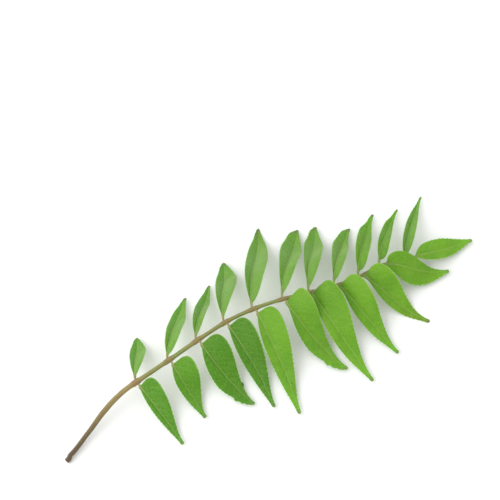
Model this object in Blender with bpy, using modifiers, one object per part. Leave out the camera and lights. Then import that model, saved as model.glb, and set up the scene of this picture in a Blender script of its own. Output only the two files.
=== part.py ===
"""Curry leaf sprig: one cut compound leaf of Murraya koenigii, lying on a flat surface.

The cut end of the stalk is at -X, the end leaflet at +X. The stalk arches clear of the surface.
It stands on z = 0 at three points: its cut end and the tip of one leaflet on each side.
Everything grew as one piece, so stalk, leaflet stalks and blades are fused into one body.
"""

import math
import random

import bmesh
import bpy
from mathutils import Vector

MM = 0.001
NAME = "curry_leaf_sprig"

# Moves the sprig so that the middle of its outline lies over the origin (mm).
CENTRE = Vector((-97.89, -11.3, 0.0))

# Main stalk, cut end to last leaflet: along, sideways, height of the middle, radius (mm).
STALK = (
    (1.8, -0.2, 1.124, 1.15),
    (4.0, 1.0, 1.7, 1.05),
    (14.0, 5.5, 2.6, 1.05),
    (26.0, 10.5, 5.0, 1.2),
    (36.0, 13.0, 7.0, 1.15),
    (48.0, 13.5, 9.0, 1.0),
    (62.0, 14.0, 11.0, 0.95),
    (76.0, 15.0, 12.5, 0.9),
    (90.0, 15.5, 13.5, 0.85),
    (104.0, 14.0, 14.0, 0.8),
    (118.0, 10.8, 14.0, 0.75),
    (132.0, 7.2, 13.0, 0.7),
    (144.0, 5.8, 11.5, 0.6),
    (156.0, 6.6, 9.5, 0.55),
    (168.0, 4.6, 6.0, 0.5),
)
STALK_STEP = 2.4
# The stalk is this much thicker, as a share of its radius, where a leaflet leaves it, over this
# distance (mm) each way.
NODE_SWELL = 0.28
NODE_SPREAD = 1.6

# Leaflets. Station on the stalk and blade length (mm), angle to the stalk, rise at the base,
# curl towards the stalk's tip over the whole blade, roll that lifts the half nearer the stalk's
# tip, fold of each half along the midrib (degrees). Then for that outer half the breadth and
# where it is broadest (share of the length), the same for the inner half, and how far the
# shoulder of the outer half reaches back over the stalk (mm).
NEAR_SIDE = (
    # station, length, angle, rise, curl, roll, fold, outer, at, inner, at, shoulder
    (43.0, 31.0, 78.0, 0.0, -4.0, 18.0, 16.0, 1.4, 0.17, 0.7, 0.44, 0.5),
    (60.0, 26.5, 90.0, 0.0, 4.0, 12.0, 16.0, 1.9, 0.17, 1.05, 0.44, 0.9),
    (74.5, 34.0, 88.0, 4.0, 16.0, 8.0, 14.0, 1.55, 0.16, 1.45, 0.56, 0.5),
    (88.0, 39.2, 81.0, 4.0, -13.0, 10.0, 16.0, 1.25, 0.16, 0.8, 0.46, 0.5),
    (101.5, 46.0, 82.0, 4.0, -9.0, 8.0, 16.0, 1.05, 0.16, 0.75, 0.46, 0.5),
    (114.0, 37.5, 70.0, 4.0, 16.0, 24.0, 14.0, 1.6, 0.12, 1.2, 0.6, 1.5),
    (125.0, 43.0, 67.0, 4.0, -2.0, 16.0, 14.0, 1.38, 0.11, 0.8, 0.46, 1.2),
    (136.5, 35.5, 67.5, 4.0, -4.0, 20.0, 14.0, 1.43, 0.13, 0.82, 0.46, 1.2),
    (147.5, 31.5, 72.5, 2.0, 8.0, 20.0, 14.0, 1.52, 0.14, 0.92, 0.48, 1.0),
    (157.5, 25.0, 28.0, 20.0, 8.0, 22.0, 12.0, 1.3, 0.2, 2.4, 0.42, 1.0),
)
FAR_SIDE = (
    (42.5, 22.0, 71.0, 24.0, 0.0, 0.0, 32.0, 1.25, 0.5, 1.25, 0.7, 0.0),
    (58.5, 32.4, 58.0, 24.0, 0.0, 0.0, 36.0, 0.9, 0.38, 0.85, 0.6, 0.0),
    (73.0, 30.8, 58.0, 24.0, 0.0, 0.0, 36.0, 0.62, 0.38, 0.95, 0.6, 0.0),
    (87.0, 35.3, 70.0, 26.0, -2.0, 0.0, 32.0, 1.05, 0.5, 0.95, 0.68, 0.0),
    (100.0, 47.0, 73.0, 28.0, -2.0, 0.0, 32.0, 0.8, 0.4, 0.78, 0.62, 0.0),
    (113.0, 39.8, 73.0, 28.0, 0.0, 0.0, 36.0, 0.75, 0.4, 1.3, 0.8, 0.0),
    (124.0, 37.8, 79.0, 28.0, 0.0, 0.0, 36.0, 0.82, 0.4, 1.05, 0.78, 0.0),
    (134.5, 32.8, 69.0, 24.0, 2.0, 0.0, 38.0, 0.75, 0.34, 1.2, 0.8, 0.0),
    (145.0, 34.2, 57.0, 22.0, 3.0, 0.0, 38.0, 0.72, 0.26, 0.95, 0.68, 0.0),
    (155.0, 30.2, 57.0, 20.0, 10.0, 0.0, 36.0, 0.7, 0.2, 0.78, 0.6, 0.0),
    (165.5, 31.0, 64.5, 16.0, 5.0, 0.0, 36.0, 0.57, 0.3, 0.68, 0.46, 0.0),
)
END_LEAFLET = (168.0, 24.6, -0.5, 4.0, -4.0, 0.0, 12.0, 1.12, 0.42, 1.4, 0.4, 0.0)
# A shoulder that reaches back is straight again from this share of the blade's length on.
SHOULDER_END = 0.35

BLADE_THICK = 0.7
# Height of a blade's middle surface where it stands on the ground, how much higher the flat spot
# behind that point is, and how far the leaflets that don't carry the sprig stay clear (mm).
REST = BLADE_THICK / 2
FLAT_STEP = 0.03
CARRIERS = ("near_9", "far_5")
CLEARANCE = 1.5
# Breadth of a half blade of size 1, as a share of the blade's length.
BREADTH = 0.185
INNER_SHARE = 0.62
END_SHARE = 0.891
# How sharply a half blade narrows on both sides of its broadest place, for near (-1), end (0)
# and far (1) leaflets.
OUTER_TAPER = {-1: 1.85, 0: 2.0, 1: 1.6}
INNER_TAPER = {-1: 1.8, 0: 1.8, 1: 1.4}
TIP_HALF = 0.5
# From this share of its length on, a near or end leaflet lies level on the surface.
LEVEL_FROM = {-1: 0.8, 0: 0.8, 1: 1.0}
# The fold is this much flatter at the margin than at the midrib.
FOLD_EASING = 0.35
# Shallow teeth along the margin, and waves in it, as shares of the half breadth.
TOOTH = 0.07
TOOTH_FROM = 0.3
TOOTH_TO = 0.95
WAVE = 0.06
WAVES = 2
WAVE_LAG = 1.5
# Rings of points down a blade, as shares of its length, and faces across it.
STATIONS = (0, 0.03, 0.09, 0.17, 0.26, 0.35, 0.44, 0.53, 0.62, 0.71, 0.8, 0.88, 0.95, 1.0)
COLUMNS = 4

# Short stalk of each leaflet (mm), sunk into the main stalk and into the blade.
LEAF_STALK = 2.6
LEAF_STALK_RADIUS = 0.45
ROOT_DEPTH = 1.2

AXIS_STEPS = 60
# Step each way along a leaflet for its direction (share), and along the stalk (mm).
AXIS_REACH = 0.02
HEADING_REACH = 0.5
# Range of droops tried while a leaflet's tip is brought down (radians), and number of halvings.
DROOPS = (-1.0, 1.4)
HALVINGS = 40
WELD = 0.000001
SEED = 11


def along(table, x):
    """Smooth value of a table of rows (x, a, b, ...) at x, by a Catmull-Rom curve."""
    last = len(table) - 2
    i = next((k for k in range(last) if x < table[k + 1][0]), last)
    t = (x - table[i][0]) / (table[i + 1][0] - table[i][0])
    rows = [table[max(0, i - 1)], table[i], table[i + 1], table[min(len(table) - 1, i + 2)]]
    out = []
    for a, b, c, d in list(zip(*rows))[1:]:
        out.append(0.5 * (2 * b + (c - a) * t + (2 * a - 5 * b + 4 * c - d) * t * t
                          + (3 * b - a - 3 * c + d) * t ** 3))
    return out


def stalk_point(x):
    y, z, _ = along(STALK, x)
    return Vector((x, y, z))


def stalk_heading(x):
    step = stalk_point(x + HEADING_REACH) - stalk_point(x - HEADING_REACH)
    return math.atan2(step.y, step.x)


def leaf_axis(base, heading, length, rise, curl, droop, level):
    """Points down a leaflet: it leaves its stalk at `rise`, falls, and is level from `level` on."""
    whole = LEAF_STALK + length
    point = base.copy()
    points = [point.copy()]
    for k in range(AXIS_STEPS):
        s = (k + 0.5) / AXIS_STEPS
        fall = min(1, s / level)
        pitch = rise * (1 - fall) ** 2 - droop * math.sin(math.pi * fall)
        turn = heading + curl * s
        point = point + whole / AXIS_STEPS * Vector((
            math.cos(pitch) * math.cos(turn), math.cos(pitch) * math.sin(turn), math.sin(pitch)))
        points.append(point.copy())
    return points


def settled_axis(base, heading, length, rise, curl, level, rest):
    """The leaflet axis whose tip comes down to the height `rest`."""
    low, high = DROOPS
    for _ in range(HALVINGS):
        droop = 0.5 * (low + high)
        if leaf_axis(base, heading, length, rise, curl, droop, level)[-1].z > rest:
            low = droop
        else:
            high = droop
    return leaf_axis(base, heading, length, rise, curl, droop, level)


def on_axis(points, share):
    place = share * (len(points) - 1)
    i = min(int(place), len(points) - 2)
    return points[i].lerp(points[i + 1], place - i)


def half_breadth(s, broadest, taper):
    """Outline of one half of a blade: 1 where it is broadest, 0 at its base and its tip."""
    rising = (s / broadest) ** (taper * broadest)
    return rising * ((1 - s) / (1 - broadest)) ** (taper * (1 - broadest))


def toothed(s, index, odd):
    """Shrinks the half breadth at every other ring, so that the margin is toothed."""
    if s < TOOTH_FROM or s > TOOTH_TO or index % 2 != odd:
        return 1.0
    return 1.0 - TOOTH


def blade_surface(name, axis, length, side, roll, fold, outline, shoulder, phase, rest):
    """Open surface of one leaflet blade, bent along its axis."""
    outer_size, outer_at, inner_size, inner_at = outline
    bm = bmesh.new()
    bmesh.ops.create_grid(bm, x_segments=len(STATIONS) - 1, y_segments=COLUMNS, size=1.0)
    start = LEAF_STALK / (LEAF_STALK + length)
    for vert in bm.verts:
        index = round((vert.co.x + 1) / 2 * (len(STATIONS) - 1))
        across = vert.co.y
        s = STATIONS[index]
        share = start + (1 - start) * s
        middle = on_axis(axis, share)
        ahead = on_axis(axis, min(1, share + AXIS_REACH))
        forward = (ahead - on_axis(axis, share - AXIS_REACH)).normalized()
        edge = Vector((forward.y, -forward.x, 0)).normalized() * (side or 1)
        up = edge.cross(forward) * (1 if side >= 0 else -1)
        up = up if up.z > 0 else -up
        ease = 1 - min(1, share / LEVEL_FROM[side]) ** 3
        tilt = roll * ease
        edge, up = (edge * math.cos(tilt) + up * math.sin(tilt),
                    up * math.cos(tilt) - edge * math.sin(tilt))
        outer = across > 0
        if outer:
            half = outer_size * half_breadth(s, outer_at, OUTER_TAPER[side])
        else:
            half = inner_size * half_breadth(s, inner_at, INNER_TAPER[side])
        half *= END_SHARE if side == 0 else 1 if outer else INNER_SHARE
        half = max(half * BREADTH * length * toothed(s, index, int(outer)), TIP_HALF)
        bend = fold * ease * (1 - FOLD_EASING * abs(across))
        back = shoulder * across / outer_size * max(0, 1 - s / SHOULDER_END) if outer else 0
        back *= half / (BREADTH * length)
        wave = 2 * math.pi * WAVES * s + phase + (WAVE_LAG if outer else 0)
        ripple = WAVE * half * across ** 2 * math.sin(wave)
        vert.co = (middle - forward * back + edge * half * across * math.cos(bend)
                   + up * (half * abs(across) * math.sin(bend) + ripple * ease))
        point = index == len(STATIONS) - 1 and across > 0.99
        vert.co.z = max(vert.co.z, rest + (0 if point else FLAT_STEP))
    bmesh.ops.triangulate(bm, faces=bm.faces, quad_method="FIXED")
    bmesh.ops.recalc_face_normals(bm, faces=bm.faces)
    mesh = bpy.data.meshes.new(name)
    for vert in bm.verts:
        vert.co = (vert.co + CENTRE) * MM
    bm.to_mesh(mesh)
    bm.free()
    return mesh


def tube(name, points, radii, material, collection):
    """A solid tube through points in mm, made from a bevelled curve with its caps welded."""
    curve = bpy.data.curves.new(name + "_curve", "CURVE")
    curve.dimensions = "3D"
    curve.bevel_depth = MM
    curve.bevel_resolution = 2
    curve.use_fill_caps = True
    spline = curve.splines.new("POLY")
    spline.points.add(len(points) - 1)
    for item, point, radius in zip(spline.points, points, radii):
        item.co = (*((point + CENTRE) * MM), 1.0)
        item.radius = radius
    guide = bpy.data.objects.new(name + "_curve", curve)
    collection.objects.link(guide)
    bpy.context.view_layer.update()
    graph = bpy.context.evaluated_depsgraph_get()
    mesh = bpy.data.meshes.new_from_object(guide.evaluated_get(graph))
    bm = bmesh.new()
    bm.from_mesh(mesh)
    bmesh.ops.remove_doubles(bm, verts=bm.verts, dist=WELD)
    bmesh.ops.recalc_face_normals(bm, faces=bm.faces)
    bm.to_mesh(mesh)
    bm.free()
    made = bpy.data.objects.new(name, mesh)
    made.matrix_world = guide.matrix_world
    mesh.materials.clear()
    mesh.materials.append(material)
    collection.objects.link(made)
    bpy.data.objects.remove(guide)
    return made


def add_leaflet(name, side, row, phase, material, collection):
    station, length, angle, rise, curl, roll, fold, *outline, shoulder = row
    turn = (side or -1) * math.radians(angle)
    curl = (side or -1) * -math.radians(curl)
    base = stalk_point(station)
    heading = stalk_heading(min(station, STALK[-1][0] - HEADING_REACH)) + turn
    rest = REST if name in CARRIERS else REST + CLEARANCE
    axis = settled_axis(base, heading, length, math.radians(rise), curl, LEVEL_FROM[side], rest)
    mesh = blade_surface(name, axis, length, side, math.radians(roll), math.radians(fold),
                         outline, shoulder, phase, rest)
    blade = bpy.data.objects.new(name, mesh)
    mesh.materials.append(material)
    collection.objects.link(blade)
    thick = blade.modifiers.new("thickness", "SOLIDIFY")
    thick.thickness = BLADE_THICK * MM
    thick.offset = 0
    whole = LEAF_STALK + length
    reach = [0.0, 0.5, 1.0, (LEAF_STALK + ROOT_DEPTH) / LEAF_STALK]
    points = [on_axis(axis, share * LEAF_STALK / whole) for share in reach]
    tube(name + "_stalk", points, [LEAF_STALK_RADIUS] * len(points), material, collection)


def add_stalk(material, collection):
    first = STALK[0][0]
    last = STALK[-1][0]
    count = round((last - first) / STALK_STEP)
    stations = [row[0] for row in NEAR_SIDE + FAR_SIDE]
    places = sorted({first + (last - first) * k / count for k in range(count + 1)})
    radii = []
    for x in places:
        swell = sum(math.exp(-((x - node) / NODE_SPREAD) ** 2) for node in stations)
        radii.append(along(STALK, x)[2] * (1 + NODE_SWELL * min(1, swell)))
    return tube(NAME, [stalk_point(x) for x in places], radii, material, collection)


def principled(name, colour, roughness):
    material = bpy.data.materials.new(name)
    material.use_nodes = True
    shader = material.node_tree.nodes["Principled BSDF"]
    shader.inputs["Base Color"].default_value = (*colour, 1)
    shader.inputs["Roughness"].default_value = roughness
    return material


def main():
    for obj in list(bpy.data.objects):
        bpy.data.objects.remove(obj)
    whole = bpy.data.collections.new(NAME)
    repeats = bpy.data.collections.new("leaflets")
    bpy.context.scene.collection.children.link(whole)
    bpy.context.scene.collection.children.link(repeats)
    green = principled("leaf_green", (0.13, 0.36, 0.05), 0.42)
    draw = random.Random(SEED)
    # One leaflet at a time, then one union of them all with the main stalk.
    for number, row in enumerate(NEAR_SIDE, 1):
        add_leaflet(f"near_{number}", -1, row, draw.uniform(0, math.tau), green, repeats)
    for number, row in enumerate(FAR_SIDE, 1):
        add_leaflet(f"far_{number}", 1, row, draw.uniform(0, math.tau), green, repeats)
    add_leaflet("end", 0, END_LEAFLET, draw.uniform(0, math.tau), green, repeats)
    sprig = add_stalk(green, whole)
    join = sprig.modifiers.new("join_leaflets", "BOOLEAN")
    join.operation = "UNION"
    join.operand_type = "COLLECTION"
    join.collection = repeats
    join.solver = "MANIFOLD"
    bpy.context.view_layer.update()
    graph = bpy.context.evaluated_depsgraph_get()
    fused = bpy.data.meshes.new_from_object(sprig.evaluated_get(graph))
    sprig.modifiers.clear()
    sprig.data = fused
    for obj in list(repeats.objects):
        bpy.data.objects.remove(obj)
    bpy.data.collections.remove(repeats)


main()
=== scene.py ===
"""Curry leaf sprig: finished surfaces for one cut compound leaf that lies on a plain floor.

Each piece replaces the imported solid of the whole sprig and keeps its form: the main stalk, the
short stalks of the leaflets, and every leaflet blade. Lengths in tables are millimetres.
"""

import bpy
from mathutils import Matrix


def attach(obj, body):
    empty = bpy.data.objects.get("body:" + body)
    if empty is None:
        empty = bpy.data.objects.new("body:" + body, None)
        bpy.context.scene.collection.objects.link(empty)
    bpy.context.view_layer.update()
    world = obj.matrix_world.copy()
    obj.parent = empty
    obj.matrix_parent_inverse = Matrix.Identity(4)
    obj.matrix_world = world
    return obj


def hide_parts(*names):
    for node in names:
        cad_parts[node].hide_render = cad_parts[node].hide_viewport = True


bl_info = {
    "name": "Curry Leaf Sprig",
    "version": (1, 0, 0),
    "blender": (4, 5, 0),
    "location": "3D View > Sidebar > Curry Leaf",
    "description": "Builds a cut curry leaf with toothed, veined leaflets on an arching stalk",
    "category": "Add Mesh",
}

import math
import random
from collections import namedtuple

import bmesh
import bpy
from bpy.props import FloatProperty, FloatVectorProperty, IntProperty, PointerProperty
from mathutils import Matrix, Vector, noise

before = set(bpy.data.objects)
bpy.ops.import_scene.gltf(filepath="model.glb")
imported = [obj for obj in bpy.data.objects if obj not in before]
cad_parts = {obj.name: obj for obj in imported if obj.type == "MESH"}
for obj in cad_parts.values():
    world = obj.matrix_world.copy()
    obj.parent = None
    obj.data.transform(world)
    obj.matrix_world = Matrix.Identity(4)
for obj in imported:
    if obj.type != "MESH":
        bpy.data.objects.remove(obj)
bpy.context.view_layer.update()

MM = 0.001
NODE = "curry_leaf_sprig"
SEED = 11
# Moves the tables' own coordinates to the middle of the part's box.
CENTRE = Vector((-97.89, -11.3, 0.0))


# ---- form of the sprig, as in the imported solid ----

# Main stalk, cut end to last leaflet: along, sideways, height of the middle, radius.
STALK = (
    (1.8, -0.2, 1.124, 1.15),
    (4, 1, 1.7, 1.05),
    (14, 5.5, 2.6, 1.05),
    (26, 10.5, 5, 1.2),
    (36, 13, 7, 1.15),
    (48, 13.5, 9, 1),
    (62, 14, 11, 0.95),
    (76, 15, 12.5, 0.9),
    (90, 15.5, 13.5, 0.85),
    (104, 14, 14, 0.8),
    (118, 10.8, 14, 0.75),
    (132, 7.2, 13, 0.7),
    (144, 5.8, 11.5, 0.6),
    (156, 6.6, 9.5, 0.55),
    (168, 4.6, 6, 0.5),
)
# It swells where leaflets leave it: share of the radius, and how far along.
NODE_SWELL = 0.28
NODE_SPREAD = 1.6
# How far to each side of a station the stalk's heading is read.
HEADING_REACH = 0.5

NEAR, END, FAR = -1, 0, 1

# Leaflets, with angles in degrees: `outer` is the breadth of the half nearer the stalk's tip,
# which is broadest at `outer_at`, and its `shoulder` reaches back over the stalk.
Leaflet = namedtuple("Leaflet", (
    "station", "length", "angle", "rise", "curl", "roll", "fold",
    "outer", "outer_at", "inner", "inner_at", "shoulder"))
NEAR_SIDE = [Leaflet(*row) for row in (
    (43, 31, 78, 0, -4, 18, 16, 1.4, 0.17, 0.7, 0.44, 0.5),
    (60, 26.5, 90, 0, 4, 12, 16, 1.9, 0.17, 1.05, 0.44, 0.9),
    (74.5, 34, 88, 4, 16, 8, 14, 1.55, 0.16, 1.45, 0.56, 0.5),
    (88, 39.2, 81, 4, -13, 10, 16, 1.25, 0.16, 0.8, 0.46, 0.5),
    (101.5, 46, 82, 4, -9, 8, 16, 1.05, 0.16, 0.75, 0.46, 0.5),
    (114, 37.5, 70, 4, 16, 24, 14, 1.6, 0.12, 1.2, 0.6, 1.5),
    (125, 43, 67, 4, -2, 16, 14, 1.38, 0.11, 0.8, 0.46, 1.2),
    (136.5, 35.5, 67.5, 4, -4, 20, 14, 1.43, 0.13, 0.82, 0.46, 1.2),
    (147.5, 31.5, 72.5, 2, 8, 20, 14, 1.52, 0.14, 0.92, 0.48, 1),
    (157.5, 25, 28, 20, 8, 22, 12, 1.3, 0.2, 2.4, 0.42, 1),
)]
FAR_SIDE = [Leaflet(*row) for row in (
    (42.5, 22, 71, 24, 0, 0, 32, 1.25, 0.5, 1.25, 0.7, 0),
    (58.5, 32.4, 58, 24, 0, 0, 36, 0.9, 0.38, 0.85, 0.6, 0),
    (73, 30.8, 58, 24, 0, 0, 36, 0.62, 0.38, 0.95, 0.6, 0),
    (87, 35.3, 70, 26, -2, 0, 32, 1.05, 0.5, 0.95, 0.68, 0),
    (100, 47, 73, 28, -2, 0, 32, 0.8, 0.4, 0.78, 0.62, 0),
    (113, 39.8, 73, 28, 0, 0, 36, 0.75, 0.4, 1.3, 0.8, 0),
    (124, 37.8, 79, 28, 0, 0, 36, 0.82, 0.4, 1.05, 0.78, 0),
    (134.5, 32.8, 69, 24, 2, 0, 38, 0.75, 0.34, 1.2, 0.8, 0),
    (145, 34.2, 57, 22, 3, 0, 38, 0.72, 0.26, 0.95, 0.68, 0),
    (155, 30.2, 57, 20, 10, 0, 36, 0.7, 0.2, 0.78, 0.6, 0),
    (165.5, 31, 64.5, 16, 5, 0, 36, 0.57, 0.3, 0.68, 0.46, 0),
)]
END_LEAFLET = Leaflet(168, 24.6, -0.5, 4, -4, 0, 12, 1.12, 0.42, 1.4, 0.4, 0)
SIDES = {NEAR: ("near", NEAR_SIDE), FAR: ("far", FAR_SIDE), END: ("end", [END_LEAFLET])}
# Leaflets that carry the sprig with its cut end, and how far the others stay clear.
CARRIERS = (NEAR_SIDE[8], FAR_SIDE[4])
CLEARANCE = 1.5

# A pair for `ramp` or `smooth_step` says where something is nought and where it is whole.
# Outline: half breadth as a share of the length, and as a share of that for narrower halves.
BREADTH = 0.185
INNER_SHARE = 0.62
END_SHARE = 0.891
OUTER_TAPER = {NEAR: 1.85, END: 2, FAR: 1.6}
INNER_TAPER = {NEAR: 1.8, END: 1.8, FAR: 1.4}
SHOULDER_END = (0.35, 0)

# Axis: where a leaflet comes level, the steps along it, and the search for its droop.
LEVEL_FROM = {NEAR: 0.8, END: 0.8, FAR: 1}
LEAF_STALK = 2.6
AXIS_STEPS = 60
AXIS_REACH = 0.02
DROOPS = (-1, 1.4)
HALVINGS = 40

# Cross-section: less fold towards the margin, and a wave along it as a share of the half breadth.
FOLD_EASING = 0.35
WAVE = 0.06
WAVES = 2
WAVE_LAG = 1.5


# ---- finer form of the blades ----

# Rings to a millimetre, columns in a half, and how these crowd the midrib.
RINGS_PER_MM = 4.0
HALF_COLUMNS = 18
CROWDING = 1.4

# Teeth: their number, the share of one that slopes to its notch, how their places wander, where
# they grow to full depth and end, how near the margin they stay, and the half breadth they need.
TEETH_PER_MM = 0.62
TOOTH_SLOPE = 0.78
TOOTH_WANDER = 0.35
TOOTH_WANDER_RATE = 0.6
OUTER_TEETH_SEED = 7
INNER_TEETH_SEED = 3
TEETH_START = (0.08, 0.43)
TEETH_END = (1, 0.95)
TEETH_POWER = 5
TEETH_ROOM = (0, 2)

# Two near leaflets have a torn inner margin. Each bite: where it starts, is deepest, ends; depth.
TORN = (2, 5)
BITES = ((0.54, 0.74, 0.80, 0.95), (0.81, 0.835, 0.87, 0.55), (0.88, 0.90, 0.93, 0.35))
BITE_POWER = 4
BITE_ROUGHNESS = 0.5
BITE_RATE = 70.0

# A small brown scab on the outer margin of the third near leaflet: place along, reach and size.
SCABBED = 2
SCAB_AT = 0.715
SCAB_REACH = 0.7
SCAB_SIZE = 0.75
SCAB_POWER = 12

# The sixth near leaflet leaves a gap to the next one: its outer half is this much narrower.
GAP_BESIDE = 5
GAP_SHARE = 0.12
GAP_START = (0.12, 0.42)

# Stations over which leaflets get younger. The base of a young near blade reaches back along its
# own stalk: how far, over which share of the blade, and how much less on the outer half.
YOUNG = (106, 126)
BASE_REACH = 2.3
BASE_END = (0.14, 0)
BASE_OUTER_LOSS = 0.5

# Each far tip: how far it bends towards the stalk's tip, and how much narrower its inner half is.
# The outer half narrows by a share of it.
FAR_TIPS = (
    (0, 0.14), (1.4, 0.14), (0.5, 0.14), (0, 0.14), (0, 0.16), (0.2, 0.16),
    (-0.1, 0.2), (1.5, 0.1), (0.8, 0.42), (0.6, 0.4), (0.5, 0.34),
)
OUTER_DRAWN = 0.3
DRAWN = (0.76, 0.92)
# Tips: least half breadth, how far they reach past the axis, and how their ends are rounded.
TIP_HALF = {NEAR: 0.8, END: 0.8, FAR: 0.5}
TIP_REACH = {NEAR: 0.5, END: 0.5, FAR: 1.2}
REACHING = (0.7, 1)
ROUNDED = (0.93, 1)
TIP_ROUNDING = 0.024
TIP_NOTCH = 0.005
# From here to the tip the underside of the midrib, and not only the blade's, stays off the floor.
RIB_CLEAR_FROM = 0.7

# Side veins: spacing, slant and arch; height, width and the distance where they have run out.
VEIN_SPACING = 2.9
VEIN_LEAN = 0.62
VEIN_ARCH = 0.03
VEIN_HEIGHT = 0.07
VEIN_WIDTH = 0.22
VEIN_END = (7, 0)
# Midrib: how it thins and narrows towards the tip, its groove, and where the groove runs out.
RIB_THINNING = 0.72
RIB_WIDTH = 0.5
RIB_NARROWING = 0.2
GROOVE_WIDTH = 0.32
GROOVE_END = (1, 0.85)
FAR_GROOVE = 0.25

# Swelling between the veins: its shape, and where it fades by the midrib, margin and tip.
QUILT_POWER = 0.8
QUILT_LEVEL = 0.4
QUILT_BY_MIDRIB = (0, 0.8)
QUILT_BY_MARGIN = (-0.135, 0.765)
QUILT_END = (1, 0.88)
# Slow unevenness: size, a finer share of it, how it starts by the midrib, and the part that stays
# where the blade lies level.
UNEVEN_SIZE = 7.0
UNEVEN_FINER = 0.42
UNEVEN_FINE_SHARE = 0.45
UNEVEN_BY_MIDRIB = (0, 1.5)
UNEVEN_LEVEL = 0.35
UNEVEN_SEED = 31.7


# ---- finer form of the stalks ----

STALK_RINGS = 420
# Ridges round the main stalk: count, depth, where they start and their twist from ring to ring.
RIDGES = ((5, 0.035, 0, 0.01), (9, 0.02, 1.3, 0))
STALK_SHARE = 0.97
# The channel along its top: depth and width, and over how many rings it starts.
STALK_CHANNEL = (0.10, 0.45)
CHANNEL_START = (0, 60)
KNOT_DEPTH = 0.05
KNOT_RATE = 0.06
# The cut face, rim to middle: share of the radius, and depth into the stalk.
CUT_RINGS = ((0.93, -0.05), (0.70, -0.02), (0.52, 0.06), (0.42, 0.16), (0.2, 0.2))
CUT_RAGGED = 0.03

# Leaflet stalks: faces round, steps along, how far they run into the midrib, radius and waist.
LEAF_STALK_SIDES = 14
LEAF_STALK_STEPS = 22
LEAF_STALK_RUN_ON = 2.4
LEAF_STALK_RADIUS = 0.54
LEAF_STALK_WAIST = 0.08
LEAF_STALK_TAPER = 0.8
LEAF_STALK_CHANNEL = (0.14, 0.5)
# Their share of the joints' reddish bark at their start, and how much of that is lost.
WARMTH = {NEAR: 0.25, FAR: 0.4, END: 0.3}
WARMTH_LOSS = 0.6


# ---- colours ----

# Tone of each blade: above 0 to the pale green, partly a paler, waxy tone and partly painted sheen
# on the far leaflets, and below 0 to the deep one.
TONES = {
    NEAR: (-0.75, -0.6, -0.8, -0.85, -0.12, -0.2, -0.1, 0, 0, -0.05),
    FAR: (0.95, 0.85, 0.9, 0.95, 0.9, 0.8, 0.8, 0.75, -0.45, -0.5, 0.9),
    END: (0.1,),
}

TIP_BROWN = (0.17, 0.185, 0.09)
RIM_TIP_BROWN = (0.15, 0.12, 0.06)
SCAB_BROWN = (0.06, 0.045, 0.02)
RIM_PALE = (0.36, 0.50, 0.17)
UNDER_NET = (0.38, 0.52, 0.22)
UNDER_VEIN = (0.42, 0.55, 0.25)
UNDER_MIDRIB = (0.45, 0.55, 0.26)
STALK_GREENER = (0.195, 0.270, 0.058)
STALK_LOWER = (0.30, 0.225, 0.068)
STALK_YOUNG = (0.22, 0.30, 0.08)
STALK_FIBRE = (0.13, 0.085, 0.04)
STALK_DOT = (0.46, 0.38, 0.22)
PITH = (0.50, 0.42, 0.24)
PITH_RIM = (0.20, 0.12, 0.06)
PITH_GRAIN = (0.12, 0.08, 0.04)
LEAF_STALK_TAN = (0.36, 0.38, 0.13)
LEAF_STALK_FIBRE = (0.14, 0.10, 0.045)
LEAF_STALK_YOUNG = (0.19, 0.31, 0.06)

# Masks of the materials.
VEIN_EDGE = (0.10, 0.02)
VEIN_FADE = (0.98, 0.62)
NET_EDGE = (0, 0.22)
GLAND_EDGE = (0.26, 0.10)
MARGIN_EDGE = (0.93, 1)
TIP_EDGE = (0.93, 0.99)
SCAB_EDGE = (0.12, 0.5)
MOTTLE_EDGE = (0.36, 0.68)
FLECK_EDGE = (0.50, 0.72)
# Painted shade on the inner half of each far leaflet: where it starts across the midrib, and where
# it is whole.
INNER_SHADE_EDGE = (0.10, -0.10)
BASE_EDGE = (0.5, 0.08)
DOT_EDGE = (0.24, 0.12)
PATCH_EDGE = (0.35, 0.7)
FIBRE_EDGE = (0.35, 0.68)
LOWER_EDGE = (0.36, 0.2)
CUT_EDGE = (0.22, 0.02)
YOUNG_EDGE = (0.72, 1)
PITH_EDGE = (0.3, 0.8)
# Sizes of the patterns, in cells to a metre, and the flattening of the fibres along the stalk.
WOBBLE_SCALE = 260.0
GLAND_SCALE = 1500.0
FLECK_SCALE = 520.0
PATCH_SCALE = 160.0
GRAIN_SCALE = 3000.0
FIBRE_STRETCH = (0.08, 1, 1)
# How far the side veins wobble, and those of the outer half run ahead, in spacings.
VEIN_WOBBLE = 0.22
VEIN_LEAD = 0.5
# The midrib's width in millimetres and its share of colour: change over the leaflet, value at its
# base. The joints' share of colour in the same way, over the younger end of the stalk.
MIDRIB_WIDTH = (-0.20, 0.34)
MIDRIB_SHARE = (-0.45, 0.82)
JOINT_SHARE = (-0.35, 0.5)


# ---- stage, in metres ----

LOOK_AT = Vector((0.01311, 0.0382, 0.0))
LAMP_PLACE = Vector((-0.9, 0.35, 0.75))
LAMP_SIZE = 2.2
FLOOR_HALF = 3.0
SENSOR_WIDTH = 36.0
CLIP_START = 0.01


# ---- settings ----


def colour_setting(name, description, default):
    return FloatVectorProperty(name=name, description=description, default=default,
                               subtype="COLOR", size=3, min=0.0, max=1.0)


def depth_setting(name, description, default, most, least=0.0):
    return FloatProperty(name=name, description=description, default=default * MM,
                         min=least * MM, max=most * MM, precision=5, unit="LENGTH")


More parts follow.
